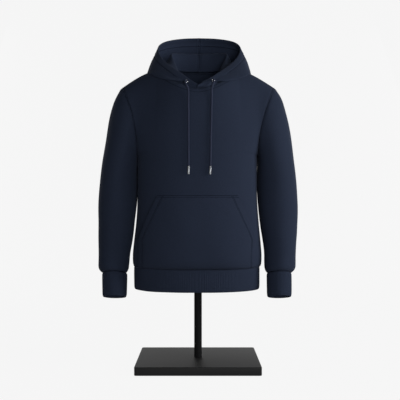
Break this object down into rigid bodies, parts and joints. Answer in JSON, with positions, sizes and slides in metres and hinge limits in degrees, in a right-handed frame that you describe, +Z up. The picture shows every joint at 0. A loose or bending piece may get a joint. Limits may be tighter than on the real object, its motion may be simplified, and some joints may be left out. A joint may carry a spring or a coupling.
{
  "type": "pullover hoodie on a display stand",
  "caption": "Long-sleeved pullover hoodie with hood down, kangaroo pocket, rib cuffs and hem and hanging drawcords, filled out on a black post and base stand.",
  "frame": {"origin": "centre of the stand base's underside", "axes": "+Z up, the hoodie's front faces -Y, +X is the wearer's left, which is the viewer's right"},
  "size_m": [0.6241, 0.3155, 1.067],
  "materials": {
    "fleece": "matte",
    "rib_knit": "matte",
    "cord": "matte",
    "silver_metal": "satin",
    "base_black": "satin",
    "post_black": "satin",
    "form_black": "matte"
  },
  "bodies": {
    "root": {"aglet_left": "silver_metal", "aglet_right": "silver_metal", "body_back": "fleece", "body_front": "fleece", "cuff_left": "rib_knit", "cuff_right": "rib_knit", "drawcord_left": "cord", "drawcord_right": "cord", "eyelet_left": "silver_metal", "eyelet_right": "silver_metal", "hem_band": "rib_knit", "hood_left": "fleece", "hood_right": "fleece", "pocket": "fleece", "shoulder_yoke": "form_black", "sleeve_left": "fleece", "sleeve_right": "fleece", "stand_base": "base_black", "stand_post": "post_black"}
  },
  "joints": []
}
